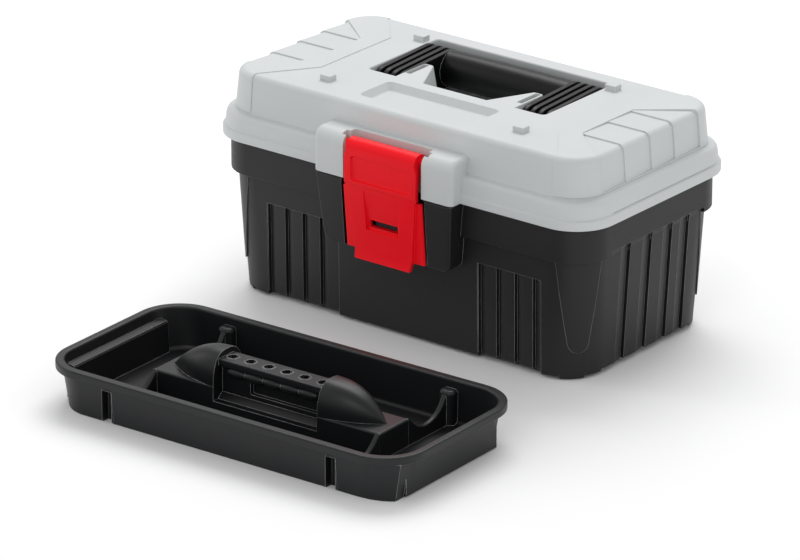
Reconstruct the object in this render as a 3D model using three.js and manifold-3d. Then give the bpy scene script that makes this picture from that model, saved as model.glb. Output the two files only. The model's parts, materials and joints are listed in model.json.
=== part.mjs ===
// Plastic toolbox with a hinged lid, a folding carry handle, a snap latch and a lift-out tray.
// Millimetres, +Z up, front towards -Y. The origin is the middle of the tub's base, on the floor.

import * as THREE from 'three';
import * as BufferGeometryUtils from 'three/addons/utils/BufferGeometryUtils.js';
import Module from 'manifold-3d';

const wasm = await Module();
wasm.setup();

// ---- Driving dimensions ----

const boxLength = 320; // outside of the lid's rim, left to right
const boxWidth = 172.4; // outside of the lid's rim, front to back
const lidTop = 157; // floor to the lid's flat top
const partingHeight = 111; // floor to the lid's lower edge
const cornerRadius = 30; // lid rim, in plan
const moveGap = 1.0; // side clearance of a part that moves
const restGap = 0.4; // gap between parts that touch

const tubWall = 2.6;
const tubFloor = 2.8;
const bandInset = 4.6; // lid rim to the tub's upper band
const bandRadius = 27.5; // corners of the band, in plan
const bandDepth = 25; // height of that band
const wallInset = 4; // band to the ribbed wall below it
const taperEnds = 4.8; // how far the end walls lean in towards the base
const taperSides = 1; // the same for the front and back walls
const skirtHeight = 4; // the walls end this far above the floor
const baseInset = 9; // the flat base inside the walls' lower edge
const lipHeight = 3.5; // tub lip inside the lid's rim
const lipInset = 1.2;
const footLength = 30; // corner feet, along each wall
const footRound = 3; // rounded lower edge of the feet
const wallRadius = 27; // corners of the wall, in plan, below the band
const footRadius = 31; // the same at the wall's lower edge
const grooveWidth = 3;
const grooveDepth = 4.5;
const frontGrooves = [67, 82, 97.5, 112]; // from the middle, both ways
const frontGrooveTop = 69;
const endGrooves = [-25, -1, 22, 41];
const endGrooveTop = 84;

const lidWall = 2.4;
const rimBand = 7.6; // height of the lid rim's lower band
const rimStep = 1.4; // its upper band is this much smaller
const shoulderHeight = 127; // top of the upper band
const domeInset = 8.6; // rim to the foot of the raised top
const domeTaper = 2.5;
const domeRound = 3;

const pocketHalf = 74; // handle pocket
const pocketFront = -16.5;
const pocketBack = 60;
const pocketDepth = 32;
const wingRoot = 26; // inner foot of the two triangular wings in the pocket
const wingTip = 42.6;
const wingReach = 15;
const wingOuter = 50.2;
const slotWidth = 4.6;
const slotDepth = 12;
const panelHalf = [47, 16.5]; // shallow panel in front of the pocket
const panelCentre = -44.5;
const panelDepth = 5;
const lugPlace = [81, 51];
const lugSize = [9, 7, 4];

const pivotY = -2.5; // handle pivot
const pivotDrop = 13.5; // below the lid's top
const gripReach = 47.5; // pivot to grip axis
const gripRise = 1.5;
const gripRadius = 13;
const finCount = 4;
const finPitch = 6.2;
const finThick = 3.6;
const finRadius = 13;
const armWebRadius = 8.5;
const handlePinRadius = 2.5;
const pinFit = 0.35; // radial clearance of a pin or trunnion

const hingeDrop = 2; // and below the lid's lower edge
const hingeRadius = 5;
const hingeOut = hingeRadius - 0.2; // hinge axis behind the lid's rim, knuckles clear of it
const hingePinRadius = 2.2;
const hingePlace = 85;
const lidKnuckle = 12.4;
const tubKnuckle = 7.2;

const blockHalf = 58; // latch block on the lid's front
const blockProud = 9.5; // its front, ahead of the rim
const blockTop = 142;
const notchHalf = 32.8; // space for the latch between the block's two cheeks
const housingTopHalf = 57; // housing on the tub, below the block
const housingFootHalf = 52.7;
const housingFoot = 62.5;
const housingLean = 4;
const recessHalf = 35;
const recessProud = 4.5; // recess floor, ahead of the tub's band

const trunnionRadius = 2.3;
const trunnionHeight = 135;
const trunnionProud = 3.3; // axis ahead of the lid's rim
const trunnionReach = 2.6; // into each cheek
const latchProud = 12; // latch face ahead of the lid's rim
const latchPlate = 3;
const latchHalf = 30;
const latchTaperHalf = 22.8;
const latchFoot = 57;
const latchLean = 4;
const latchWaist = 64; // where the finger lip flares out
const rollRadius = 5.5;
const wingPanel = [33, 62.5, 107]; // half width, bottom and top of the side panels
const wingSetback = 3;
const windowHalf = 11.6;
const windowHeight = [81, 86];
const hookDrop = 4;
const catchHalf = 9;
const catchGap = 0.6; // rigid gap that the snap closes by bending

const trayPlace = [31.1, -241.7]; // the tray stands on the floor in front
const trayTurn = 1.85; // degrees
const trayHalf = [145, 70.7]; // outside of its rolled rim
const trayHeight = 31.5;
const trayRadius = 31;
const trayLip = 4.6; // rim ahead of the wall below it
const trayLipDepth = 5.5;
const trayFootRadius = 24;
const trayTaper = [5.6, 1];
const trayWall = 2.2;
const ledgeGap = 0.8; // tray wall to the tub's tray ledge
const ledgeHalf = 50;
const ledgeDepth = 4;
const spineHalf = [92, 16]; // middle spine of the tray
const spineHeight = 21;
const railHalf = 42; // grip rail between the two shoulders
const railWidth = 16.6;
const railTop = 38;
const railDepth = 10;
const railOffset = -1.5;
const webWidth = 9; // upright web under the rail
const nicheDepth = 3;
const shoulderTop = 42.5;
const shoulderLength = 44;
const socketAcross = 6.5; // hexagonal bit sockets
const socketPitch = 14.6;
const socketCount = 6;
const socketDepth = 9;
const dividerThick = 2.4;
const dividerWallHeight = 26;
const dividerDip = 14;

// ---- Sizes that follow from them ----

const rimHalf = [boxLength / 2, boxWidth / 2];
const bandHalf = rimHalf.map((half) => half - bandInset);
const wallTopHalf = bandHalf.map((half) => half - wallInset);
const wallFootHalf = [wallTopHalf[0] - taperEnds, wallTopHalf[1] - taperSides];
const ledgeHeight = partingHeight - bandDepth;
const pocketFloor = lidTop - pocketDepth;
const pivotZ = lidTop - pivotDrop;
const hingeY = rimHalf[1] + hingeOut;
const hingeZ = partingHeight - hingeDrop;
const trunnionY = -rimHalf[1] - trunnionProud;
const notchBack = trunnionY + rollRadius + 2.2; // rear of the opening behind the latch's roll
const latchY = -rimHalf[1] - latchProud;
const recessY = -bandHalf[1] - recessProud;
const armInner = pocketHalf - moveGap - (finCount - 1) * finPitch - finThick;

// ---- Shape helpers ----

const arcSteps = 6;

function solid(geometry) {
  geometry.deleteAttribute('normal');
  geometry.deleteAttribute('uv');
  const merged = BufferGeometryUtils.mergeVertices(geometry, 1e-4);
  return new wasm.Manifold(new wasm.Mesh({
    numProp: 3,
    vertProperties: new Float32Array(merged.attributes.position.array),
    triVerts: new Uint32Array(merged.index.array),
  }));
}

function block(x, y, z) {
  const geometry = new THREE.BoxGeometry(x[1] - x[0], y[1] - y[0], z[1] - z[0]);
  geometry.translate((x[0] + x[1]) / 2, (y[0] + y[1]) / 2, (z[0] + z[1]) / 2);
  return solid(geometry);
}

function ring(half, radius, z, centre = [0, 0]) {
  const points = [];
  const corners = [[1, 1], [-1, 1], [-1, -1], [1, -1]];
  corners.forEach(([sideX, sideY], quarter) => {
    for (let step = 0; step <= arcSteps; step += 1) {
      const angle = (quarter + step / arcSteps) * Math.PI / 2;
      points.push(new THREE.Vector3(
        centre[0] + sideX * (half[0] - radius) + radius * Math.cos(angle),
        centre[1] + sideY * (half[1] - radius) + radius * Math.sin(angle),
        z,
      ));
    }
  });
  return points;
}

function loft(rings) {
  const count = rings[0].length;
  const positions = rings.flat().flatMap((point) => point.toArray());
  const index = [];
  for (let level = 0; level < rings.length - 1; level += 1) {
    for (let k = 0; k < count; k += 1) {
      const a = level * count + k;
      const b = level * count + (k + 1) % count;
      index.push(a, b, b + count, a, b + count, a + count);
    }
  }
  const last = (rings.length - 1) * count;
  for (let k = 1; k < count - 1; k += 1) {
    index.push(0, k + 1, k, last, last + k, last + k + 1);
  }
  const geometry = new THREE.BufferGeometry();
  geometry.setAttribute('position', new THREE.Float32BufferAttribute(positions, 3));
  geometry.setIndex(index);
  return solid(geometry);
}

// A flat outline in X and Z, given a thickness along Y.
function plateXZ(points, y) {
  const shape = new THREE.Shape(points.map(([x, z]) => new THREE.Vector2(x, z)));
  const geometry = new THREE.ExtrudeGeometry(shape, { depth: y[1] - y[0], bevelEnabled: false });
  geometry.rotateX(Math.PI / 2);
  geometry.translate(0, y[1], 0);
  return solid(geometry);
}

// An outline in Y and Z, given a width along X.
function profileYZ(shape, x) {
  const options = { depth: x[1] - x[0], bevelEnabled: false, curveSegments: 8 };
  const geometry = new THREE.ExtrudeGeometry(shape, options);
  geometry.applyMatrix4(new THREE.Matrix4().makeBasis(
    new THREE.Vector3(0, 1, 0),
    new THREE.Vector3(0, 0, 1),
    new THREE.Vector3(1, 0, 0),
  ));
  geometry.translate(x[0], 0, 0);
  return solid(geometry);
}

function plan(points, z) {
  const shape = new THREE.Shape(points.map(([x, y]) => new THREE.Vector2(x, y)));
  const geometry = new THREE.ExtrudeGeometry(shape, { depth: z[1] - z[0], bevelEnabled: false });
  geometry.translate(0, 0, z[0]);
  return solid(geometry);
}

function rod(radius, x, y, z, sides = 24) {
  const geometry = new THREE.CylinderGeometry(radius, radius, x[1] - x[0], sides);
  geometry.rotateZ(Math.PI / 2);
  geometry.translate((x[0] + x[1]) / 2, y, z);
  return solid(geometry);
}

function bothSides(x) {
  return [[x[0], x[1]], [-x[1], -x[0]]];
}

function mesh(name, body, material) {
  const data = body.getMesh();
  const geometry = new THREE.BufferGeometry();
  geometry.setAttribute('position', new THREE.BufferAttribute(data.vertProperties, 3));
  geometry.setIndex(new THREE.BufferAttribute(data.triVerts, 1));
  geometry.computeVertexNormals();
  const result = new THREE.Mesh(geometry, material);
  result.name = name;
  return result;
}

// ---- Materials ----

const blackPlastic = new THREE.MeshStandardMaterial({ color: 0x1c1d1f, roughness: 0.5, metalness: 0 });
const greyPlastic = new THREE.MeshStandardMaterial({ color: 0xc3c6c6, roughness: 0.5, metalness: 0 });
const redPlastic = new THREE.MeshStandardMaterial({ color: 0xd8191f, roughness: 0.35, metalness: 0 });
const handlePlastic = new THREE.MeshStandardMaterial({ color: 0x141517, roughness: 0.4, metalness: 0 });
const steel = new THREE.MeshStandardMaterial({ color: 0x9a9c9e, roughness: 0.35, metalness: 1 });

// ---- Tub ----

function wallHalfAt(z) {
  const share = (z - skirtHeight) / (ledgeHeight - skirtHeight);
  return wallFootHalf.map((half, axis) => half + (wallTopHalf[axis] - half) * share);
}

function tubOutside() {
  const walls = loft([
    ring(wallFootHalf, footRadius, skirtHeight),
    ring(wallTopHalf, wallRadius, ledgeHeight),
    ring(wallTopHalf, wallRadius, ledgeHeight + bandDepth / 2),
  ]);
  const lipHalf = bandHalf.map((half) => half - lipInset);
  const band = loft([
    ring(bandHalf.map((half) => half - 1), bandRadius - 1, ledgeHeight - 1.2),
    ring(bandHalf, bandRadius, ledgeHeight),
    ring(bandHalf, bandRadius, partingHeight - restGap),
    ring(lipHalf, bandRadius - lipInset, partingHeight - restGap + 0.6),
    ring(lipHalf, bandRadius - lipInset, partingHeight + lipHeight),
  ]);
  const baseHalf = wallFootHalf.map((half) => half - baseInset);
  const base = loft([
    ring(baseHalf, footRadius - baseInset, 0),
    ring(baseHalf, footRadius - baseInset, skirtHeight + tubFloor / 2),
  ]);
  return walls.add(band).add(base).add(tubFeet());
}

function tubFeet() {
  const inset = (amount) => wallFootHalf.map((half) => half - amount);
  const whole = loft([
    ring(inset(footRound), footRadius - footRound, 0),
    ring(inset(footRound * 0.3), footRadius - footRound * 0.3, footRound * 0.3),
    ring(wallFootHalf, footRadius, footRound),
    ring(wallFootHalf, footRadius, skirtHeight + 1),
  ]);
  const reach = wallFootHalf.map((half) => half - footLength);
  const across = [-boxLength, boxLength];
  return whole
    .subtract(block([-reach[0], reach[0]], across, [-1, skirtHeight + 2]))
    .subtract(block(across, [-reach[1], reach[1]], [-1, skirtHeight + 2]));
}

function tubHollow() {
  const inner = (half) => half.map((value) => value - tubWall);
  const base = wallFootHalf.map((half) => half - baseInset - tubWall);
  const upper = bandHalf.map((half) => half - lipInset - tubWall);
  const floor = skirtHeight + tubFloor;
  const baseRadius = footRadius - baseInset - tubWall;
  const upperRadius = bandRadius - lipInset - tubWall;
  return loft([ring(inner(wallHalfAt(floor)), footRadius - tubWall, floor),
    ring(inner(wallTopHalf), wallRadius - tubWall, ledgeHeight + tubWall)])
    .add(loft([ring(base, baseRadius, tubFloor), ring(base, baseRadius, floor + 1)]))
    .add(loft([ring(upper, upperRadius, ledgeHeight + tubWall - 1), ring(upper, upperRadius, lidTop)]));
}

function grooves(grow, top, bottom) {
  const half = grooveWidth / 2 + grow;
  const depth = grooveDepth + grow;
  const cuts = [];
  const front = wallTopHalf[1];
  const end = wallTopHalf[0];
  for (const place of frontGrooves) {
    for (const x of bothSides([place - half, place + half])) {
      const z = [bottom, frontGrooveTop + top];
      cuts.push(block(x, [-front - 5, -wallHalfAt(z[1])[1] + depth], z));
      cuts.push(block(x, [wallHalfAt(z[1])[1] - depth, front + 5], z));
    }
  }
  for (const place of endGrooves) {
    const y = [place - half, place + half];
    const z = [bottom, endGrooveTop + top];
    cuts.push(slantedGroove(y, z, depth, end));
    cuts.push(slantedGroove(y, z, depth, end).mirror([1, 0, 0]));
  }
  return cuts;
}

function slantedGroove(y, z, depth, end) {
  const outline = [
    [wallHalfAt(z[0])[0] - depth, z[0]],
    [end + 5, z[0]],
    [end + 5, z[1]],
    [wallHalfAt(z[1])[0] - depth, z[1]],
  ];
  return plateXZ(outline, y);
}

function latchHousing() {
  const back = -bandHalf[1] + tubWall + 2;
  const front = -rimHalf[1] - blockProud + 0.4;
  const at = (halfX, y, z) => [
    new THREE.Vector3(-halfX, y, z),
    new THREE.Vector3(halfX, y, z),
    new THREE.Vector3(halfX, back, z),
    new THREE.Vector3(-halfX, back, z),
  ];
  const body = loft([
    at(housingFootHalf - 3, front + housingLean, housingFoot),
    at(housingFootHalf, front + housingLean * 0.85, housingFoot + 5),
    at(housingTopHalf, front, partingHeight - restGap),
  ]);
  const recess = block([-recessHalf, recessHalf], [front - 5, recessY], [housingFoot - 1, partingHeight]);
  const hollow = block([-recessHalf + tubWall, recessHalf - tubWall], [recessY + tubWall, back + 1],
    [ledgeHeight + tubWall, partingHeight - tubWall]);
  return { housing: body.subtract(recess), hollow };
}

function catchBar() {
  const tip = -rimHalf[1] - latchProud + latchLean + latchPlate + 2.4 + catchGap;
  return block([-catchHalf, catchHalf], [Math.min(tip, recessY - 1), recessY + 1],
    [windowHeight[0] + restGap, windowHeight[1] - restGap]);
}

function knuckle(x, webY, webZ) {
  const tube = rod(hingeRadius, x, hingeY, hingeZ);
  return tube.add(block(x, webY, webZ));
}

function makeTub() {
  let body = tubOutside().subtract(tubHollow());
  const inside = tubOutside();
  for (const rib of grooves(tubWall, tubWall, skirtHeight)) {
    body = body.add(rib.intersect(inside));
  }
  for (const cut of grooves(0, 0, -1)) {
    body = body.subtract(cut);
  }
  for (const x of bothSides([trayHalf[0] - trayLip + ledgeGap, wallTopHalf[0] - tubWall / 2])) {
    body = body.add(block(x, [-ledgeHalf, ledgeHalf], [ledgeHeight - ledgeDepth, ledgeHeight]));
  }
  const { housing, hollow } = latchHousing();
  body = body.add(housing).subtract(hollow).add(catchBar());
  const webY = [bandHalf[1] - 1, hingeY];
  const webZ = [hingeZ - hingeRadius, hingeZ];
  const gap = lidKnuckle / 2 + 0.6;
  for (const side of [-1, 1]) {
    const middle = side * hingePlace;
    body = body.add(knuckle([middle + gap, middle + gap + tubKnuckle], webY, webZ));
    body = body.add(knuckle([middle - gap - tubKnuckle, middle - gap], webY, webZ));
    body = body.subtract(rod(hingePinRadius + pinFit, [middle - 25, middle + 25], hingeY, hingeZ));
  }
  return mesh('tub', body, blackPlastic);
}

// ---- Lid ----

function lidOutside() {
  const upper = rimHalf.map((half) => half - rimStep);
  const shoulder = rimHalf.map((half) => half - rimStep - 1);
  const foot = rimHalf.map((half) => half - domeInset);
  const crest = foot.map((half) => half - domeTaper);
  const top = crest.map((half) => half - domeRound);
  return loft([
    ring(rimHalf, cornerRadius, partingHeight),
    ring(rimHalf, cornerRadius, partingHeight + rimBand),
    ring(upper, cornerRadius - 1, partingHeight + rimBand + 0.6),
    ring(shoulder, cornerRadius - 2, shoulderHeight),
    ring(shoulder.map((half) => half - 2), cornerRadius - 3, shoulderHeight + 2.4),
    ring(foot, cornerRadius - 6, shoulderHeight + 3.4),
    ring(crest, cornerRadius - 7, lidTop - domeRound),
    ring(top.map((half) => half + 1), cornerRadius - 9, lidTop - 0.7),
    ring(top, cornerRadius - 10, lidTop),
  ]);
}

function lidHollow() {
  const rim = rimHalf.map((half) => half - rimStep - 1 - lidWall);
  const foot = rimHalf.map((half) => half - domeInset - lidWall);
  const crest = foot.map((half) => half - domeTaper);
  const radius = cornerRadius - 4;
  return loft([
    ring(rim, radius, partingHeight - 1),
    ring(rim, radius, shoulderHeight - 0.5),
    ring(foot, radius - 5, shoulderHeight + 1),
    ring(crest, radius - 6, lidTop - lidWall),
  ]);
}

function pocketShell() {
  const wall = lidWall;
  const x = [-pocketHalf, pocketHalf];
  const y = [pocketFront, pocketBack];
  const shell = block([x[0] - wall, x[1] + wall], [y[0] - wall, y[1] + wall], [pocketFloor - wall, lidTop - 1]);
  return { shell, space: block(x, y, [pocketFloor, lidTop + 1]) };
}

function pocketWing() {
  const outline = [
    [wingRoot, pocketFront - 1],
    [wingOuter, pocketFront - 1],
    [wingOuter, wingReach],
    [wingTip, wingReach],
  ];
  const slotX = [wingOuter - 1 - slotWidth, wingOuter - 1];
  const slot = block(slotX, [pocketFront + 9, wingReach - 1], [lidTop - slotDepth, lidTop + 1]);
  return plan(outline, [pocketFloor - 1, lidTop]).subtract(slot);
}

function latchBlock() {
  const back = -rimHalf[1] + domeInset + 1;
  const front = -rimHalf[1] - blockProud;
  const at = (halfX, y, z) => [
    new THREE.Vector3(-halfX, y, z),
    new THREE.Vector3(halfX, y, z),
    new THREE.Vector3(halfX, back, z),
    new THREE.Vector3(-halfX, back, z),
  ];
  const body = loft([
    at(blockHalf - 1.5, front, partingHeight),
    at(blockHalf, front, partingHeight + 3),
    at(blockHalf, front, blockTop - 11),
    at(blockHalf - 1.5, front + 3, blockTop - 5),
    at(blockHalf - 5, front + 9, blockTop - 1),
    at(blockHalf - 7, front + 14, blockTop),
  ]);
  const notch = block([-notchHalf, notchHalf], [front - 5, notchBack], [0, lidTop + 20]);
  return body.subtract(notch);
}

function lidKnuckles(body) {
  let result = body;
  for (const side of [-1, 1]) {
    const x = [side * hingePlace - lidKnuckle / 2, side * hingePlace + lidKnuckle / 2];
    const web = knuckle(x, [rimHalf[1] - 1, hingeY], [hingeZ, hingeZ + hingeRadius + 1]);
    const bore = rod(hingePinRadius + pinFit, [x[0] - 1, x[1] + 1], hingeY, hingeZ);
    result = result.add(web).subtract(bore);
  }
  return result;
}

function makeLid() {
  const pocket = pocketShell();
  const panelX = [-panelHalf[0], panelHalf[0]];
  const panelY = [panelCentre - panelHalf[1], panelCentre + panelHalf[1]];
  const grow = (range) => [range[0] - lidWall, range[1] + lidWall];
  let body = lidOutside().add(latchBlock()).subtract(lidHollow());
  body = body.add(pocket.shell);
  body = body.add(block(grow(panelX), grow(panelY), [lidTop - panelDepth - lidWall, lidTop - 1]));
  body = body.subtract(pocket.space);
  body = body.subtract(block(panelX, panelY, [lidTop - panelDepth, lidTop + 1]));
  body = body.add(pocketWing()).add(pocketWing().mirror([1, 0, 0]));
  for (const sideX of [-1, 1]) {
    for (const sideY of [-1, 1]) {
      const x = sideX * lugPlace[0];
      const y = sideY * lugPlace[1];
      body = body.add(block([x - lugSize[0] / 2, x + lugSize[0] / 2],
        [y - lugSize[1] / 2, y + lugSize[1] / 2], [lidTop - 1, lidTop + lugSize[2]]));
    }
  }
  const socket = [notchHalf - 1, notchHalf + trunnionReach + restGap];
  const pin = [wingOuter - 4, pocketHalf + lidWall + 1];
  for (const x of bothSides(socket)) {
    body = body.subtract(rod(trunnionRadius + pinFit, x, trunnionY, trunnionHeight));
  }
  for (const x of bothSides(pin)) {
    body = body.subtract(rod(handlePinRadius + pinFit, x, pivotY, pivotZ));
  }
  return mesh('lid', lidKnuckles(body), greyPlastic);
}

// ---- Latch ----

function latchProfile() {
  const face = latchY;
  const back = face + latchPlate;
  const shape = new THREE.Shape();
  shape.moveTo(face + latchLean - 1.5, latchFoot);
  shape.lineTo(back + latchLean - 1.5, latchFoot);
  shape.lineTo(back + latchLean, latchWaist);
  shape.lineTo(back, partingHeight);
  shape.lineTo(back, trunnionHeight - 5);
  shape.lineTo(trunnionY - rollRadius + 2.2, trunnionHeight);
  shape.absarc(trunnionY, trunnionHeight, rollRadius - 2.2, Math.PI, Math.PI / 4, true);
  shape.absarc(trunnionY, trunnionHeight, rollRadius, Math.PI / 4, Math.PI * 0.85, false);
  shape.lineTo(face, trunnionHeight - 3);
  shape.lineTo(face, partingHeight);
  shape.lineTo(face + latchLean, latchWaist);
  return shape;
}

function latchOutline() {
  return plateXZ([
    [-latchTaperHalf, latchFoot - 1],
    [latchTaperHalf, latchFoot - 1],
    [latchTaperHalf + 3, latchWaist + 4],
    [latchHalf - 1, wingPanel[2]],
    [latchHalf, wingPanel[2] + 4],
    [latchHalf, trunnionHeight + 20],
    [-latchHalf, trunnionHeight + 20],
    [-latchHalf, wingPanel[2] + 4],
    [-latchHalf + 1, wingPanel[2]],
    [-latchTaperHalf - 3, latchWaist + 4],
  ], [latchY - 20, latchY + 40]);
}

function latchWings() {
  const [half, bottom, top] = wingPanel;
  const shape = new THREE.Shape();
  const lean = latchLean * 0.9;
  shape.moveTo(latchY + wingSetback + lean, bottom);
  shape.lineTo(latchY + wingSetback + lean + 2.2, bottom);
  shape.lineTo(latchY + wingSetback + 2.2, top);
  shape.lineTo(latchY + wingSetback - 1, top);
  return profileYZ(shape, [-half, half]);
}

function latchArms() {
  const shape = new THREE.Shape();
  const reach = latchY + latchPlate - 1;
  shape.moveTo(reach, partingHeight - 2);
  shape.lineTo(trunnionY + 1, trunnionHeight - 6);
  shape.absarc(trunnionY, trunnionHeight, rollRadius - 1, -Math.PI / 4, Math.PI * 0.85, false);
  shape.lineTo(reach, trunnionHeight);
  const width = 2.4;
  return bothSides([latchHalf - width, latchHalf]).map((x) => profileYZ(shape, x));
}

function latchHook() {
  const z = [windowHeight[0] - hookDrop, windowHeight[0]];
  const lean = latchLean * (partingHeight - z[0]) / (partingHeight - latchWaist);
  const front = latchY + latchPlate - 1 + lean * 0.7;
  const tip = latchY + latchLean + latchPlate + 2.4;
  return block([-windowHalf, windowHalf], [front, tip], z);
}

function makeLatch() {
  let body = profileYZ(latchProfile(), [-latchHalf, latchHalf]).intersect(latchOutline());
  body = body.add(latchWings());
  for (const arm of latchArms()) {
    body = body.add(arm);
  }
  for (const x of bothSides([latchHalf - 1, notchHalf + trunnionReach])) {
    body = body.add(rod(trunnionRadius, x, trunnionY, trunnionHeight));
  }
  const window = block([-windowHalf, windowHalf], [latchY - 5, latchY + 25], windowHeight);
  body = body.subtract(window).add(latchHook());
  return mesh('latch', body, redPlastic);
}

// ---- Handle ----

function armOutline(radius, tailRadius) {
  const tail = [pivotY + gripReach, pivotZ + gripRise];
  const tilt = Math.atan2(gripRise, gripReach);
  const shape = new THREE.Shape();
  shape.absarc(pivotY, pivotZ, radius, Math.PI / 2 + tilt, Math.PI * 1.5 + tilt, false);
  shape.absarc(tail[0], tail[1], tailRadius, -Math.PI / 2 + tilt, Math.PI / 2 + tilt, false);
  return shape;
}

function makeHandle() {
  let body = rod(gripRadius, [-armInner - 1, armInner + 1], pivotY + gripReach, pivotZ + gripRise, 32);
  const outer = armInner + (finCount - 1) * finPitch + finThick;
  for (const x of bothSides([armInner, outer])) {
    body = body.add(profileYZ(armOutline(armWebRadius, armWebRadius), x));
  }
  for (let fin = 0; fin < finCount; fin += 1) {
    const start = armInner + fin * finPitch;
    for (const x of bothSides([start, start + finThick])) {
      body = body.add(profileYZ(armOutline(finRadius - 0.6, finRadius), x));
    }
  }
  const bore = rod(handlePinRadius + pinFit, [-pocketHalf - 5, pocketHalf + 5], pivotY, pivotZ);
  return mesh('handle', body.subtract(bore), handlePlastic);
}

// ---- Pins ----

function makePin(name, radius, x, y, z, material) {
  return mesh(name, rod(radius, x, y, z), material);
}

function pins() {
  const handleX = [wingOuter - 4 + restGap, pocketHalf + lidWall];
  const hingeHalf = lidKnuckle / 2 + 0.6 + tubKnuckle;
  const names = ['right', 'left'];
  const result = [];
  bothSides(handleX).forEach((x, side) => {
    result.push(makePin(`handle_pin_${names[side]}`, handlePinRadius, x, pivotY, pivotZ, steel));
  });
  bothSides([hingePlace - hingeHalf, hingePlace + hingeHalf]).forEach((x, side) => {
    result.push(makePin(`hinge_pin_${names[side]}`, hingePinRadius, x, hingeY, hingeZ, steel));
  });
  return result;
}

// ---- Tray, modelled about its own middle with its base at zero ----

const trayWallTop = trayHalf.map((half) => half - trayLip);
const trayFootHalf = trayWallTop.map((half, axis) => half - trayTaper[axis]);
const lipFoot = trayHeight - trayLipDepth;

function trayShell() {
  const outside = loft([
    ring(trayFootHalf.map((half) => half - 1), trayFootRadius - 1, 0),
    ring(trayFootHalf, trayFootRadius, 1),
    ring(trayWallTop, trayRadius - trayLip, lipFoot + 1),
  ]);
  const rim = loft([
    ring(trayHalf, trayRadius, lipFoot),
    ring(trayHalf, trayRadius, trayHeight - 1.2),
    ring(trayHalf.map((half) => half - 1.2), trayRadius - 1, trayHeight),
  ]);
  const inner = (half) => half.map((value) => value - trayWall);
  const hollow = loft([
    ring(inner(trayFootHalf), trayFootRadius - trayWall, trayWall),
    ring(inner(trayWallTop), trayRadius - trayLip - trayWall, trayHeight + 1),
  ]);
  return { shell: outside.add(rim), hollow };
}

function shoulder() {
  const geometry = new THREE.SphereGeometry(1, 28, 14);
  geometry.rotateX(Math.PI / 2);
  geometry.scale(shoulderLength, spineHalf[1] - 0.5, shoulderTop - spineHeight);
  geometry.translate(railHalf, 0, spineHeight);
  const keep = block([railHalf, boxLength], [-spineHalf[1], spineHalf[1]], [spineHeight - 1, shoulderTop + 5]);
  return solid(geometry).intersect(keep);
}

function traySpine() {
  const x = [-spineHalf[0], spineHalf[0]];
  const y = [-spineHalf[1], spineHalf[1]];
  const gap = block([-railHalf, railHalf], [-spineHalf[1] - 1, spineHalf[1] + 1], [spineHeight / 2, railTop]);
  const webY = [railOffset - webWidth / 2, railOffset + webWidth / 2];
  const web = block([-railHalf - 1, railHalf + 1], webY, [trayWall / 2, railTop - 1]);
  const rail = block([-railHalf - 1, railHalf + 1],
    [railOffset - railWidth / 2, railOffset + railWidth / 2], [railTop - railDepth, railTop]);
  let body = block(x, y, [trayWall / 2, spineHeight]).subtract(gap);
  body = body.add(shoulder()).add(shoulder().mirror([1, 0, 0])).add(web).add(rail);
  const niche = block([-railHalf + 14, railHalf - 14], [webY[0] - 1, webY[0] + nicheDepth],
    [spineHeight / 2 + 4, railTop - railDepth]);
  return body.subtract(niche);
}

function spineHollows() {
  const inset = trayWall;
  const y = [-spineHalf[1] + inset, spineHalf[1] - inset];
  const ends = bothSides([railHalf + 6, spineHalf[0] - inset]);
  return ends.map((x) => block(x, y, [-1, spineHeight - inset]));
}

function dividers() {
  const inner = trayWallTop[1];
  const start = spineHalf[1] - 1;
  const shape = new THREE.Shape();
  shape.moveTo(start, trayWall / 2);
  shape.lineTo(inner, trayWall / 2);
  shape.lineTo(inner, dividerWallHeight);
  shape.lineTo(inner - 6, dividerWallHeight);
  shape.quadraticCurveTo((inner + start) / 2, dividerDip * 2 - spineHeight, start, spineHeight);
  const result = [];
  for (const x of bothSides([spineHalf[0] - dividerThick, spineHalf[0]])) {
    const wall = profileYZ(shape, x);
    result.push(wall, wall.mirror([0, 1, 0]));
  }
  return result;
}

function bitSockets() {
  const result = [];
  for (let place = 0; place < socketCount; place += 1) {
    const x = (place - (socketCount - 1) / 2) * socketPitch;
    const geometry = new THREE.CylinderGeometry(socketAcross / Math.sqrt(3), socketAcross / Math.sqrt(3),
      socketDepth + 1, 6);
    geometry.rotateX(Math.PI / 2);
    geometry.translate(x, railOffset, railTop - (socketDepth - 1) / 2);
    result.push(solid(geometry));
  }
  return result;
}

function makeTray() {
  const { shell, hollow } = trayShell();
  let body = shell.subtract(hollow);
  let inside = traySpine();
  for (const wall of dividers()) {
    inside = inside.add(wall);
  }
  body = body.add(inside.intersect(shell.add(block([-railHalf * 2.2, railHalf * 2.2],
    [-spineHalf[1], spineHalf[1]], [trayWall, shoulderTop + 5]))));
  for (const cut of [...spineHollows(), ...bitSockets()]) {
    body = body.subtract(cut);
  }
  const result = mesh('tray', body, blackPlastic);
  result.position.set(trayPlace[0], trayPlace[1], 0);
  result.rotation.z = THREE.MathUtils.degToRad(trayTurn);
  return result;
}

// ---- The whole toolbox ----

const lidGroup = new THREE.Group();
lidGroup.add(makeLid(), makeLatch(), makeHandle());

const toolbox = new THREE.Group();
toolbox.add(makeTub(), lidGroup, makeTray(), ...pins());

export default toolbox;
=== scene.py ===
import json
import math

import bmesh
import bpy
from mathutils import Matrix, Vector

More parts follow.
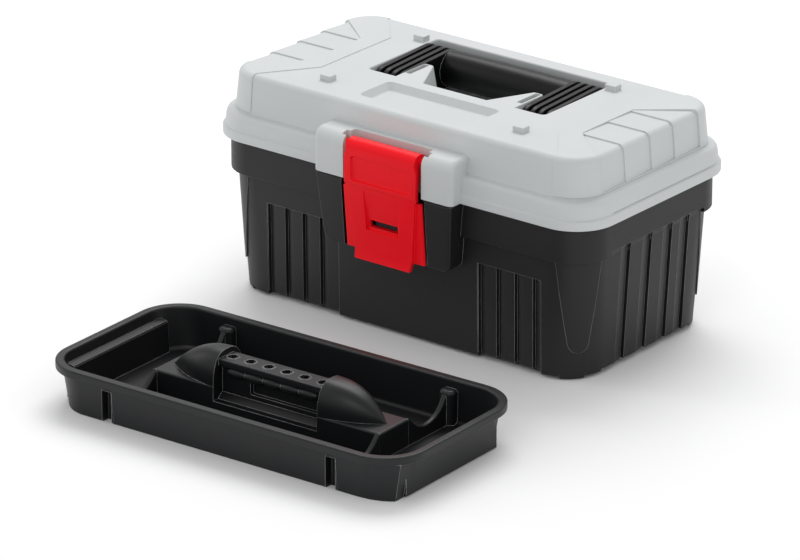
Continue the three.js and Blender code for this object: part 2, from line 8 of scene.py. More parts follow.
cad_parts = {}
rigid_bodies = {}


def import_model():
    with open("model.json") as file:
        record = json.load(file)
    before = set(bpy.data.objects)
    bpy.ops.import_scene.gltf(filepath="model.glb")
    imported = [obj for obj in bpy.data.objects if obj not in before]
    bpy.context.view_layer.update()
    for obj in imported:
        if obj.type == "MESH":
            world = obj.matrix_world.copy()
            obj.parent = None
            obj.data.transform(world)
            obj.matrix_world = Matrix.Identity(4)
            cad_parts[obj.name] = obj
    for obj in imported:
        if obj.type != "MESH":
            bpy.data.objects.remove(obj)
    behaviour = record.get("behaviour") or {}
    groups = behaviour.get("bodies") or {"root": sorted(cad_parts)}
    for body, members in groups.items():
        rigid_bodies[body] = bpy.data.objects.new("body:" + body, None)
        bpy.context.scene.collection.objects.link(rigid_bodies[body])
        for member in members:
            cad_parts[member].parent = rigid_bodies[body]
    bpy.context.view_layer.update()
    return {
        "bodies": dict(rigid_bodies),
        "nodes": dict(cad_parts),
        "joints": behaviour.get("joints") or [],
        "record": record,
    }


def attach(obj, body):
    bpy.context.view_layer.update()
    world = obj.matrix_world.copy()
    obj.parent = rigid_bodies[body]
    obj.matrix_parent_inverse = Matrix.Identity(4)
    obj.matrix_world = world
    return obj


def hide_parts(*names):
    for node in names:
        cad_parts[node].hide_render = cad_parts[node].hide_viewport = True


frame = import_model()
scene = bpy.context.scene
milli = 0.001  # the shapes below are written in millimetres

# where the pieces turn on each other, as (y, z), with the radii of pins and bores
joints = dict(hinge=(91, 109), hingePlace=85, knuckleRadius=5, hingeBore=2.55,
              trunnion=(-89.5, 135), trunnionRadius=2.3, trunnionSocket=2.65,
              handle=(-2.5, 143.5), handleBore=2.85)


def addPiece(name, points, faces):
    mesh = bpy.data.meshes.new(name)
    mesh.from_pydata([Vector(p) * milli for p in points], [], faces)
    mesh.update()
    piece = bpy.data.objects.new(name, mesh)
    scene.collection.objects.link(piece)
    return piece


def faceOutwards(piece):
    work = bmesh.new()
    work.from_mesh(piece.data)
    bmesh.ops.recalc_face_normals(work, faces=work.faces)
    work.to_mesh(piece.data)
    work.free()
    return piece


def loft(name, rings):
    count = len(rings[0])
    points = [p for ring in rings for p in ring]
    faces = [tuple(reversed(range(count)))]
    for level in range(len(rings) - 1):
        for k in range(count):
            a = level * count + k
            b = level * count + (k + 1) % count
            faces.append((a, b, b + count, a + count))
    faces.append(tuple(range(len(points) - count, len(points))))
    return faceOutwards(addPiece(name, points, faces))


def ringAt(halfX, halfY, radius, z, middle=(0, 0), steps=9):
    radius = max(radius, 0.2)
    points = []
    for turn, sx, sy in ((0, 1, 1), (90, -1, 1), (180, -1, -1), (270, 1, -1)):
        for k in range(steps + 1):
            t = math.radians(turn + 90 * k / steps)
            points.append((middle[0] + sx * (halfX - radius) + radius * math.cos(t),
                           middle[1] + sy * (halfY - radius) + radius * math.sin(t), z))
    return points


# inset and height of a rounded upper edge
def roundTop(z, radius, steps=5):
    turns = [math.pi / 2 * k / steps for k in range(steps + 1)]
    return [(radius * (1 - math.cos(t)), z - radius + radius * math.sin(t)) for t in turns]


def roundFoot(z, radius, steps=5):
    return [(inset, 2 * z - height) for inset, height in reversed(roundTop(z, radius, steps))]


# a cutter's upper end, flared so that the edge it leaves is round
def mouth(z, radius, steps=5, lift=3):
    levels = [(-inset, height) for inset, height in roundTop(z, radius, steps)]
    return levels + [(levels[-1][0], z + lift)]


def softLoft(name, shape, levels, middle=(0, 0), steps=9):
    rings = []
    for inset, z in levels:
        halfX, halfY, radius = shape(z) if callable(shape) else shape
        rings.append(ringAt(halfX - inset, halfY - inset, radius - inset, z, middle, steps))
    return loft(name, rings)


# a flat outline given a thickness along x, y or z
def extrude(name, outline, low, high, axis):
    def place(u, v, w):
        return {"x": (w, u, v), "y": (u, w, v), "z": (u, v, w)}[axis]
    points = [place(u, v, low) for u, v in outline] + [place(u, v, high) for u, v in outline]
    count = len(outline)
    faces = [tuple(range(count)), tuple(range(2 * count - 1, count - 1, -1))]
    faces += [(k, (k + 1) % count, (k + 1) % count + count, k + count) for k in range(count)]
    return faceOutwards(addPiece(name, points, faces))


def box(name, x, y, z):
    return extrude(name, [(x[0], y[0]), (x[1], y[0]), (x[1], y[1]), (x[0], y[1])], z[0], z[1], "z")


def rod(name, radius, low, high, axis, centre, sides=48):
    turns = [2 * math.pi * k / sides for k in range(sides)]
    outline = [(centre[0] + radius * math.cos(t), centre[1] + radius * math.sin(t)) for t in turns]
    return extrude(name, outline, low, high, axis)


def roundCorners(points, radii, steps=6):
    result = []
    count = len(points)
    for k, point in enumerate(points):
        radius = radii[k] if isinstance(radii, (list, tuple)) else radii
        here = Vector(point)
        before = (Vector(points[k - 1]) - here).normalized()
        after = (Vector(points[(k + 1) % count]) - here).normalized()
        corner = before.angle(after)
        if radius <= 0:
            result.append(tuple(here))
            continue
        reach = radius / math.tan(corner / 2)
        centre = here + (before + after).normalized() * (radius / math.sin(corner / 2))
        first = here + before * reach - centre
        last = here + after * reach - centre
        sweep = first.angle_signed(last)
        for step in range(steps + 1):
            t = -sweep * step / steps
            turned = Vector((first.x * math.cos(t) - first.y * math.sin(t),
                             first.x * math.sin(t) + first.y * math.cos(t)))
            result.append(tuple(centre + turned))
    return result


def soften(piece, width, segments=3, chooser=None):
    work = bmesh.new()
    work.from_mesh(piece.data)
    edges = []
    for edge in work.edges:
        if len(edge.link_faces) != 2 or edge.calc_face_angle(0) < math.radians(25):
            continue
        middle = (edge.verts[0].co + edge.verts[1].co) / 2 / milli
        along = (edge.verts[1].co - edge.verts[0].co).normalized()
        if chooser is None or chooser(middle, along):
            edges.append(edge)
    bmesh.ops.bevel(work, geom=edges, offset=width * milli, segments=segments,
                    affect="EDGES", profile=0.5, clamp_overlap=True)
    bmesh.ops.recalc_face_normals(work, faces=work.faces)
    work.to_mesh(piece.data)
    work.free()
    return piece


def reshape(piece, rule):
    for vertex in piece.data.vertices:
        vertex.co = Vector(rule(*(vertex.co / milli))) * milli
    piece.data.update()
    return piece


def turned(piece, matrix):
    result = piece.copy()
    result.data = piece.data.copy()
    scene.collection.objects.link(result)
    result.data.transform(matrix)
    if matrix.determinant() < 0:
        result.data.flip_normals()
    return result


def mirrored(piece, axis="x"):
    return turned(piece, Matrix.Diagonal((-1 if axis == "x" else 1, -1 if axis == "y" else 1, 1, 1)))


def applyModifiers(piece):
    graph = bpy.context.evaluated_depsgraph_get()
    mesh = bpy.data.meshes.new_from_object(piece.evaluated_get(graph), depsgraph=graph)
    piece.modifiers.clear()
    piece.data = mesh
    return piece


def combine(base, others, operation):
    for other in others:
        step = base.modifiers.new(operation, "BOOLEAN")
        step.solver = "MANIFOLD"
        step.operation = operation
        step.object = other
    applyModifiers(base)
    for other in others:
        bpy.data.objects.remove(other)
    return base


def join(base, *others):
    return combine(base, others, "UNION")


def cut(base, *others):
    return combine(base, others, "DIFFERENCE")


def common(base, *others):
    return combine(base, others, "INTERSECT")


# merges doubles and shades the fillets smooth against the flats
def finishMesh(piece, sharpAngle=34):
    work = bmesh.new()
    work.from_mesh(piece.data)
    bmesh.ops.remove_doubles(work, verts=work.verts, dist=0.00001)
    bmesh.ops.dissolve_degenerate(work, edges=work.edges, dist=0.000005)
    work.to_mesh(piece.data)
    work.free()
    piece.data.shade_smooth()
    piece.data.set_sharp_from_angle(angle=math.radians(sharpAngle))
    weigh = piece.modifiers.new("weigh", "WEIGHTED_NORMAL")
    weigh.keep_sharp = True
    return applyModifiers(piece)


def buildRowTree():
    tree = bpy.data.node_groups.new("shapeRow", "GeometryNodeTree")
    face = tree.interface
    face.new_socket("Shape", in_out="INPUT", socket_type="NodeSocketGeometry")
    face.new_socket("Count", in_out="INPUT", socket_type="NodeSocketInt")
    face.new_socket("Pitch", in_out="INPUT", socket_type="NodeSocketVector")
    face.new_socket("Finish", in_out="INPUT", socket_type="NodeSocketMaterial")
    face.new_socket("Row", in_out="OUTPUT", socket_type="NodeSocketGeometry")
    nodes, links = tree.nodes, tree.links
    given = nodes.new("NodeGroupInput")
    line = nodes.new("GeometryNodeMeshLine")
    line.mode = "OFFSET"
    place = nodes.new("GeometryNodeInstanceOnPoints")
    real = nodes.new("GeometryNodeRealizeInstances")
    paint = nodes.new("GeometryNodeSetMaterial")
    out = nodes.new("NodeGroupOutput")
    links.new(given.outputs["Count"], line.inputs["Count"])
    links.new(given.outputs["Pitch"], line.inputs["Offset"])
    links.new(line.outputs["Mesh"], place.inputs["Points"])
    links.new(given.outputs["Shape"], place.inputs["Instance"])
    links.new(place.outputs["Instances"], real.inputs["Geometry"])
    links.new(real.outputs["Geometry"], paint.inputs["Geometry"])
    links.new(given.outputs["Finish"], paint.inputs["Material"])
    links.new(paint.outputs["Geometry"], out.inputs["Row"])
    return tree


rowTree = buildRowTree()


def rowOf(piece, count, pitch, finish):
    step = piece.modifiers.new("row", "NODES")
    step.node_group = rowTree
    sockets = {s.name: s.identifier for s in rowTree.interface.items_tree if s.in_out == "INPUT"}
    step[sockets["Count"]] = count
    step[sockets["Pitch"]] = tuple(value * milli for value in pitch)
    step[sockets["Finish"]] = finish
    return applyModifiers(piece)


def startGroup(name, inputs, outputs):
    group = bpy.data.node_groups.new(name, "ShaderNodeTree")
    for label, kind, value in inputs:
        socket = group.interface.new_socket(label, in_out="INPUT", socket_type=kind)
        if value is not None:
            socket.default_value = value
    for label, kind in outputs:
        group.interface.new_socket(label, in_out="OUTPUT", socket_type=kind)
    return group, group.nodes.new("NodeGroupInput"), group.nodes.new("NodeGroupOutput")


def addNode(tree, kind, **settings):
    node = tree.nodes.new(kind)
    for key, value in settings.items():
        setattr(node, key, value)
    return node


def ramp(tree, source, low, high, outLow=0.0, outHigh=1.0):
    node = addNode(tree, "ShaderNodeMapRange")
    node.inputs["From Min"].default_value = low
    node.inputs["From Max"].default_value = high
    node.inputs["To Min"].default_value = outLow
    node.inputs["To Max"].default_value = outHigh
    tree.links.new(source, node.inputs["Value"])
    return node.outputs["Result"]


def mathNode(tree, operation, first, second):
    node = addNode(tree, "ShaderNodeMath", operation=operation)
    for socket, value in zip(node.inputs, (first, second)):
        if isinstance(value, (int, float)):
            socket.default_value = value
        else:
            tree.links.new(value, socket)
    return node.outputs[0]


# fine moulded texture, slow tone changes and faint scuffs
def buildGrain():
    group, given, out = startGroup(
        "mouldedGrain",
        [("Place", "NodeSocketVector", None), ("Grain Scale", "NodeSocketFloat", 1800.0),
         ("Scuff Scale", "NodeSocketFloat", 60.0)],
        [("Height", "NodeSocketFloat"), ("Tone", "NodeSocketFloat"), ("Scuff", "NodeSocketFloat")])
    links = group.links
    fine = addNode(group, "ShaderNodeTexNoise")
    fine.inputs["Detail"].default_value = 3
    fine.inputs["Roughness"].default_value = 0.6
    links.new(given.outputs["Place"], fine.inputs["Vector"])
    links.new(given.outputs["Grain Scale"], fine.inputs["Scale"])
    cells = addNode(group, "ShaderNodeTexVoronoi")
    links.new(given.outputs["Place"], cells.inputs["Vector"])
    links.new(given.outputs["Grain Scale"], cells.inputs["Scale"])
    height = mathNode(group, "ADD", fine.outputs["Fac"], cells.outputs["Distance"])
    links.new(mathNode(group, "MULTIPLY", height, 0.5), out.inputs["Height"])
    slow = addNode(group, "ShaderNodeTexNoise")
    slow.inputs["Scale"].default_value = 14
    slow.inputs["Detail"].default_value = 4
    links.new(given.outputs["Place"], slow.inputs["Vector"])
    links.new(ramp(group, slow.outputs["Fac"], 0.3, 0.7), out.inputs["Tone"])
    stretch = addNode(group, "ShaderNodeMapping")
    stretch.inputs["Scale"].default_value = (1, 0.25, 3)
    stretch.inputs["Rotation"].default_value = (0.3, 0.2, 0.6)
    links.new(given.outputs["Place"], stretch.inputs["Vector"])
    scuff = addNode(group, "ShaderNodeTexNoise")
    scuff.inputs["Detail"].default_value = 6
    scuff.inputs["Roughness"].default_value = 0.7
    links.new(stretch.outputs["Vector"], scuff.inputs["Vector"])
    links.new(given.outputs["Scuff Scale"], scuff.inputs["Scale"])
    links.new(ramp(group, scuff.outputs["Fac"], 0.58, 0.74), out.inputs["Scuff"])
    return group


# a rounded normal for crisp edges, and a mask of where those edges are, which carries the painted edge
# highlight
def buildEdges():
    group, given, out = startGroup(
        "softEdges",
        [("Radius", "NodeSocketFloat", 0.0005), ("Broken", "NodeSocketFloat", 0.5)],
        [("Normal", "NodeSocketVector"), ("Edge", "NodeSocketFloat")])
    links = group.links
    bevel = addNode(group, "ShaderNodeBevel", samples=6)
    links.new(given.outputs["Radius"], bevel.inputs["Radius"])
    links.new(bevel.outputs["Normal"], out.inputs["Normal"])
    flat = addNode(group, "ShaderNodeNewGeometry")
    turn = addNode(group, "ShaderNodeVectorMath", operation="DOT_PRODUCT")
    links.new(bevel.outputs["Normal"], turn.inputs[0])
    links.new(flat.outputs["Normal"], turn.inputs[1])
    edge = ramp(group, turn.outputs["Value"], 0.995, 0.86)
    broken = ramp(group, given.outputs["Broken"], 0.2, 0.8, 0.45, 1.0)
    links.new(mathNode(group, "MULTIPLY", edge, broken), out.inputs["Edge"])
    return group


grainGroup = buildGrain()
edgeGroup = buildEdges()


def plastic(name, look):
    material = bpy.data.materials.new(name)
    material.use_nodes = True
    tree = material.node_tree
    links = tree.links
    shader = tree.nodes["Principled BSDF"]
    shader.inputs["IOR"].default_value = 1.5
    shader.inputs["Metallic"].default_value = look.get("metal", 0.0)
    shader.inputs["Specular IOR Level"].default_value = look["shine"]
    place = addNode(tree, "ShaderNodeTexCoord")
    grain = addNode(tree, "ShaderNodeGroup", node_tree=grainGroup)
    grain.inputs["Grain Scale"].default_value = look["grainScale"]
    grain.inputs["Scuff Scale"].default_value = look["scuffScale"]
    links.new(place.outputs["Object"], grain.inputs["Place"])
    edges = addNode(tree, "ShaderNodeGroup", node_tree=edgeGroup)
    edges.inputs["Radius"].default_value = look["edgeRadius"]
    links.new(grain.outputs["Tone"], edges.inputs["Broken"])
    tone = addNode(tree, "ShaderNodeMix", data_type="RGBA")
    tone.inputs["A"].default_value = (*look["colour"], 1)
    tone.inputs["B"].default_value = (*look["tone"], 1)
    links.new(grain.outputs["Tone"], tone.inputs["Factor"])
    # painted highlight: a light colour mixed into the base colour along crisp edges, standing in for the
    # glints of light there
    edgeHighlight = addNode(tree, "ShaderNodeMix", data_type="RGBA")
    edgeHighlight.inputs["B"].default_value = (*look["edge"], 1)
    links.new(tone.outputs["Result"], edgeHighlight.inputs["A"])
    links.new(mathNode(tree, "MULTIPLY", edges.outputs["Edge"], look["highlightShare"]), edgeHighlight.inputs["Factor"])
    links.new(edgeHighlight.outputs["Result"], shader.inputs["Base Color"])
    rough = ramp(tree, grain.outputs["Scuff"], 0, 1, look["roughness"], look["roughness"] + look["scuff"])
    speck = mathNode(tree, "MULTIPLY", grain.outputs["Height"], look["speck"])
    links.new(mathNode(tree, "ADD", rough, speck), shader.inputs["Roughness"])
    bump = addNode(tree, "ShaderNodeBump")
    bump.inputs["Strength"].default_value = look["bump"]
    bump.inputs["Distance"].default_value = 0.00015
    links.new(grain.outputs["Height"], bump.inputs["Height"])
    links.new(edges.outputs["Normal"], bump.inputs["Normal"])
    links.new(bump.outputs["Normal"], shader.inputs["Normal"])
    return material


# each look's edge colour is a painted highlight along crisp edges, and the share beside it sets how strongly
# it is mixed in
tubPlastic = plastic("tubPlastic", dict(
    colour=(0.0096, 0.0093, 0.0099), tone=(0.0115, 0.0112, 0.0118), edge=(0.6, 0.6, 0.605), highlightShare=1.0,
    roughness=0.42, scuff=0.08, speck=0.08, shine=0.36, grainScale=2200, scuffScale=70,
    bump=0.3, edgeRadius=0.00028))
lidPlastic = plastic("lidPlastic", dict(
    colour=(0.565, 0.59, 0.592), tone=(0.59, 0.613, 0.615), edge=(0.88, 0.9, 0.9), highlightShare=0.6,
    roughness=0.46, scuff=0.06, speck=0.06, shine=0.4, grainScale=2000, scuffScale=60,
    bump=0.22, edgeRadius=0.00028))
latchPlastic = plastic("latchPlastic", dict(
    colour=(0.88, 0.003, 0.012), tone=(0.93, 0.0045, 0.014), edge=(1.0, 0.1, 0.08), highlightShare=0.6,
    roughness=0.34, scuff=0.08, speck=0.05, shine=0.16, grainScale=2600, scuffScale=80,
    bump=0.1, edgeRadius=0.0003))
handlePlastic = plastic("handlePlastic", dict(
    colour=(0.0022, 0.0022, 0.0026), tone=(0.004, 0.004, 0.0045), edge=(0.9, 0.905, 0.91), highlightShare=1.0,
    roughness=0.3, scuff=0.1, speck=0.06, shine=0.26, grainScale=2400, scuffScale=90,
    bump=0.15, edgeRadius=0.0003))
trayPlastic = plastic("trayPlastic", dict(
    colour=(0.006, 0.0066, 0.0078), tone=(0.0085, 0.0092, 0.0105), edge=(0.8, 0.805, 0.81), highlightShare=1.0,
    roughness=0.38, scuff=0.1, speck=0.06, shine=0.38, grainScale=2200, scuffScale=70,
    bump=0.25, edgeRadius=0.0003))
pinSteel = plastic("pinSteel", dict(
    colour=(0.55, 0.55, 0.56), tone=(0.48, 0.48, 0.5), edge=(0.75, 0.75, 0.76), highlightShare=0.5, metal=1.0,
    roughness=0.28, scuff=0.15, speck=0.05, shine=0.5, grainScale=3000, scuffScale=200,
    bump=0.1, edgeRadius=0.0002))
print("materials ready")


tubSize = dict(
    foot=(146.6, 76.6), top=(151.4, 77.6), footRadius=31, topRadius=27,  # the wall's half sizes and corners
    taperFoot=4, wallFoot=2.2, ledge=86, wall=2.6, floor=6.8,
    band=(155.4, 81.6), bandRadius=27.5, bandWall=3.8, bandInside=91.6,
    parting=110.6, lip=114.5, lipInset=1.2,
    slotRows=((67, 65.6, 118), (-112, -113.4, -51.5)),  # first slot and the sunken zone's two ends
    slotCount=4, slotPitch=15, slotWidth=2.4, slotDepth=3.9, rampReach=6.0, zoneTop=69, zoneDepth=0.8,
    endSlots=(-25, -1, 22, 41), endSlotDepth=2.6, endSlotTop=89, slatFoot=4.8,
    shieldFoot=19.5, shieldProud=0.45, shieldTaper=0.012, ribDepth=(1.2, 7.1),
    housingTop=110.6, housingFoot=62, housingLean=0.083, recessHalf=35, recessBack=-86.1,
    catchHalf=9, seatHeight=(82, 86), knuckleSpan=(6.8, 14))
clear = -20  # a cutter's reach in front of the wall
beyond = (-95, 175)  # where the front and end cutters stop


def wallShape(z):
    t = tubSize
    share = (z - t["taperFoot"]) / (t["ledge"] - t["taperFoot"])
    return (t["foot"][0] + (t["top"][0] - t["foot"][0]) * share,
            t["foot"][1] + (t["top"][1] - t["foot"][1]) * share,
            t["footRadius"] + (t["topRadius"] - t["footRadius"]) * share)


def shrunk(shape, inset):
    def result(z):
        halfX, halfY, radius = shape(z) if callable(shape) else shape
        return halfX - inset, halfY - inset, radius - inset
    return result


# outline of (x, depth behind the front wall), following the wall's taper
def frontCutter(name, outline, low, high):
    return loft(name, [[(x, beyond[0] if depth == clear else depth - wallShape(z)[1], z)
                        for x, depth in outline] for z in (low, high)])


# outline of (y, depth behind the right end wall)
def endCutter(name, outline, low, high):
    return loft(name, [[(beyond[1] if depth == clear else wallShape(z)[0] - depth, y, z)
                        for y, depth in outline] for z in (low, high)])


def frontAndBack(piece):
    return [piece, turned(piece, Matrix.Rotation(math.pi, 4, "Z"))]


def bothEnds(piece):
    return [piece, mirrored(piece)]


def tubCuts():
    t = tubSize
    half, sunk, deep = t["slotWidth"] / 2, t["zoneDepth"], t["slotDepth"]
    cuts = []
    for start, low, high in t["slotRows"]:
        zone = [(low, sunk), (low, clear), (high, clear)]
        zone += [(high, -0.02), (high - 3, sunk)] if start > 0 else [(high, sunk)]
        cuts += frontAndBack(frontCutter("zone", zone, -1, t["zoneTop"]))
        ramp = start + t["rampReach"]
        outline = [(start - half, deep), (start - half, clear), (ramp, clear), (ramp, 0.75),
                   (start + half + 0.5, 2.3), (start + half, deep)]
        slot = frontCutter("slot", outline, -1, t["zoneTop"] - 0.4)
        rowOf(slot, t["slotCount"], (t["slotPitch"], 0, 0), tubPlastic)
        cuts += frontAndBack(slot)
        cuts += frontAndBack(box("under", (low, high), (-95, -72), (-3, t["slatFoot"])))
    deep = t["endSlotDepth"]
    for y in t["endSlots"]:
        outline = [(y - 9, 0.1), (y - 9, clear), (y + 1.2, clear),
                   (y + 1.2, deep), (y - 0.6, deep), (y - 0.8, 1.5)]
        cuts += bothEnds(endCutter("endSlot", outline, -1, t["endSlotTop"]))
    cuts += bothEnds(box("under", (138, 170), (-48, 53), (-3, t["slatFoot"] - 0.6)))
    cuts += bothEnds(box("step", (wallShape(t["ledge"])[0] + 0.3, 170), (-50, 54), (80, 90)))
    return cuts


# thicker wall behind each slot
def tubRibs():
    t = tubSize
    near, far = t["ribDepth"]
    ribs = []
    for start, _, _ in t["slotRows"]:
        outline = [(start - 4, far), (start - 4, near), (start + 4.2, near), (start + 4.2, far)]
        rib = frontCutter("rib", outline, 5, 72)
        rowOf(rib, t["slotCount"], (t["slotPitch"], 0, 0), tubPlastic)
        ribs += frontAndBack(rib)
    for y in t["endSlots"]:
        outline = [(y - 4.2, far), (y - 4.2, near), (y + 4, near), (y + 4, far)]
        ribs += bothEnds(endCutter("rib", outline, 5, 91))
    return ribs


# a corner's outer skin, slightly proud, with its lower edge running to a rounded point
def cornerShield():
    t = tubSize
    foot = t["shieldFoot"]

    def grown(z):
        return tuple(v + t["shieldProud"] + (t["ledge"] - z) * t["shieldTaper"] for v in wallShape(z))
    skin = softLoft("shield", grown, roundFoot(foot, 1.2) + [(0, t["ledge"] + 0.5)])
    rounding = [0, 8, 0, 0]
    front = roundCorners([(129, 90), (137, foot - 1.5), (175, 23), (175, 90)], rounding)
    end = roundCorners([(-55, 90), (-62, foot - 1.5), (-95, 23), (-95, 90)], rounding)
    return common(skin, extrude("edge", front, -95, 0, "y"), extrude("edge", end, 100, 175, "x"))


def latchHousing():
    t = tubSize
    top, foot = t["housingTop"], t["housingFoot"]
    outline = roundCorners([(-57, top), (-52.7, foot), (52.7, foot), (57, top)], [0, 6, 6, 0])
    body = extrude("housing", outline, -95.3, -76, "y")
    soften(body, 1.6, 4, lambda p, d: p.y < -95)
    reshape(body, lambda x, y, z: (x, y + (top - z) * t["housingLean"] if y < -86 else y, z))
    recess = box("recess", (-t["recessHalf"], t["recessHalf"]), (-110, t["recessBack"]), (55, 115))
    soften(recess, 1.2, 3, lambda p, d: p.y > -90 and abs(d.z) > 0.9)
    return cut(body, recess)


def knuckle(x, web):
    tube = rod("knuckle", joints["knuckleRadius"], x[0], x[1], "x", joints["hinge"])
    soften(tube, 0.5, 2, lambda p, d: abs(d.x) < 0.1)
    return join(tube, web)


def makeTub():
    t = tubSize
    body = softLoft("tubBody", wallShape, roundFoot(t["wallFoot"], 1.4) + [(0, 40), (0, t["ledge"]), (0, 98)])
    bandShape = (*t["band"], t["bandRadius"])
    band = softLoft("band", bandShape,
                    roundFoot(t["ledge"], 0.7, 3) + [(0, 98)] + roundTop(t["parting"], 0.5, 3))
    lip = softLoft("lip", tuple(v - t["lipInset"] for v in bandShape),
                   [(0, 100)] + roundTop(t["lip"], 0.9, 4))
    feet = softLoft("feet", lambda z: wallShape(max(z, t["taperFoot"])), roundFoot(0, 3.2) + [(0, 6)])
    cut(feet, box("gap", (-130, 130), (-100, 100), (-2, 8)), box("gap", (-170, 170), (-61, 61), (-2, 8)))
    first = cornerShield()
    shields = [half for side in (first, mirrored(first)) for half in (side, mirrored(side, "y"))]
    join(body, band, lip, feet, *shields)
    join(body, softLoft("base", (137.6, 67.6, 22), roundFoot(0, 1.5) + [(0, 6)]))
    lower = softLoft("lower", shrunk(wallShape, t["wall"]), roundFoot(t["floor"], 3) + [(0, 50), (0, 93)])
    well = softLoft("well", (135, 65, 19.4), roundFoot(2.8, 2) + [(0, 9)])
    upper = softLoft("upper", tuple(v - t["bandWall"] for v in bandShape),
                     roundFoot(t["bandInside"], 1.5) + mouth(t["lip"], 0.9))
    cut(body, lower, well, upper)
    join(body, *tubRibs())
    cut(body, *tubCuts())
    for x in ((141.2, 150), (-150, -141.2)):
        join(body, soften(box("traySeat", x, (-50, 50), t["seatHeight"]), 0.8, 2))
    join(body, latchHousing())
    cut(body, box("hollow", (-32.4, 32.4), (-83.5, -70), (88.6, 108)))
    catch = box("catch", (-t["catchHalf"], t["catchHalf"]), (-90.8, -85), (81.4, 85.6))
    join(body, soften(catch, 0.5, 2, lambda p, d: p.y < -89))
    near, far = t["knuckleSpan"]
    for middle in (-joints["hingePlace"], joints["hingePlace"]):
        for side in (-1, 1):
            x = sorted((middle + side * near, middle + side * far))
            join(body, knuckle(x, box("web", x, (80.6, 91), (104, 109))))
        cut(body, rod("bore", joints["hingeBore"], middle - 25, middle + 25, "x", joints["hinge"], 32))
    return body


tub = makeTub()
print("tub built")


lidSize = dict(
    rim=(160, 86.2, 30), parting=111, band=117.6, step=1.4, domeFoot=131,
    wallFoot=8.6, crest=11.1, top=157, topRound=4.2,  # how far in the dome's wall stands, below and above
    proud=0.5, shingleDepth=(-0.1, 0.85),
    blockHalf=58, blockFront=-95.7, blockTop=142, notchHalf=32.8, notchBack=-81.8,
    pocket=(74, 38.25, 3), pocketMiddle=(0, 21.75), pocketFloor=125, shell=2.4,
    panel=(47, 16.5, 4), panelMiddle=(0, -44.5), lugPlace=(81, 51), lugHalf=(4.5, 3.5), lugTop=161,
    knuckleHalf=6.2)


def domeLevels(inset):
    t = lidSize
    foot = t["domeFoot"]
    lean = (t["crest"] - t["wallFoot"]) / (t["top"] - foot)
    levels = []
    for extra, z in [(0, foot)] + roundTop(t["top"], t["topRound"], 7):
        levels.append((t["wallFoot"] + extra + inset + (z - foot) * lean, z - (inset if z > foot else 0)))
    return levels


# corners turn a little tighter than the rim's as the outline moves in
def lidLoft(name, levels):
    halfX, halfY, radius = lidSize["rim"]
    return loft(name, [ringAt(halfX - inset, halfY - inset, radius - inset * 0.72, z, steps=12)
                       for inset, z in levels])


# the ends of the dome stand a little proud of its middle
def endRaise():
    t = lidSize
    outline = [(100, -34.5), (126.5, -72), (126.5, -95), (175, -95),
               (175, 95), (126.5, 95), (126.5, 71.5), (100, 41.3)]
    region = extrude("region", outline, t["domeFoot"], 175, "z")
    return common(region, lidLoft("proud", [(t["wallFoot"] - t["proud"], 120)] + domeLevels(-t["proud"])))


# what is taken off the right end of the dome, to a depth that changes along y
def shingle(outline, depths):
    region = extrude("region", outline, 131.8, 175, "z")
    inner = lidLoft("inner", [(lidSize["wallFoot"] - 0.02, 120)] + domeLevels(0))
    low, high = min(y for _, y in outline), max(y for _, y in outline)

    def sink(x, y, z):
        depth = depths[0] + (depths[1] - depths[0]) * (y - low) / (high - low)
        return (x - depth if x > 0 else x, y, z - depth if z > 125 else z)
    reshape(inner, sink)
    return cut(region, inner)


def shingles():
    outlines = [
        [(116, -30), (123, -38), (148, -57), (178, -57), (178, -30)],
        [(115, -30), (178, -30), (178, -1), (115, -1)],
        [(115, -1), (178, -1), (178, 25), (115, 25)],
        [(115, 25), (178, 25), (178, 53), (147, 53), (115, 27)],
    ]
    return [half for outline in outlines for half in bothEnds(shingle(outline, lidSize["shingleDepth"]))]


def latchBlock():
    t = lidSize
    half, foot, top = t["blockHalf"], t["parting"], t["blockTop"]
    body = box("block", (-half, half), (t["blockFront"], -75), (foot, top))
    soften(body, 8, 7, lambda p, d: abs(d.x) > 0.9 and p.z > top - 2 and p.y < -90)
    soften(body, 3.6, 5, lambda p, d: abs(p.x) > half - 0.1 and p.z > foot + 1 and p.y < -76)
    soften(body, 0.8, 3, lambda p, d: p.z < foot + 0.2)
    notch = box("notch", (-t["notchHalf"], t["notchHalf"]), (-120, t["notchBack"]), (80, 180))
    soften(notch, 1.6, 4, lambda p, d: abs(d.z) > 0.9 and p.y > -90)
    cut(body, notch)
    for x in ((-36, -32), (32, 36)):  # open slots over the trunnions
        slot = box("slot", x, (-92.2, -86.8), (joints["trunnion"][1], 160))
        cut(body, soften(slot, 0.8, 3, lambda p, d: abs(d.x) > 0.9))
    return body


def wing():
    rings = []
    for tip, z in ((35.5, 124), (42.6, 157)):
        outline = roundCorners([(26, -18), (50.2, -18), (50.2, 15), (tip, 15)], [0, 0, 1.5, 2.0])
        rings.append([(x, y, z) for x, y in outline])
    body = loft("wing", rings)
    soften(body, 0.8, 3, lambda p, d: p.z > 156.5 and p.y > -17.5)
    outline = roundCorners([(44.8, -8), (49.2, -8), (49.2, 13.6), (44.8, 13.6)], 0.8)
    return cut(body, extrude("slot", outline, 145, 160, "z"))


def lug(x, y):
    t = lidSize
    (halfX, halfY), top = t["lugHalf"], t["top"]
    body = box("lug", (x - halfX, x + halfX), (y - halfY, y + halfY), (top - 1, t["lugTop"]))
    return soften(body, 0.5, 3, lambda p, d: p.z > top)


# the rim, its small steps and the shoulder below the dome, as (inset, height)
def lidRim():
    t = lidSize
    foot, band, step, wall = t["parting"], t["band"], t["step"], t["wallFoot"]
    return roundFoot(foot, 0.8, 3) + [
        (0, band - 0.9), (0.3, band - 0.25), (0.8, band + 0.1), (step, band + 0.3), (step + 0.15, band + 1.2),
        (step + 0.9, 125.5), (step + 1.3, 127.2), (step + 2.2, 128.6), (step + 3.4, 129.3),
        (wall - 1.4, 129.8), (wall - 0.5, 130.2)]


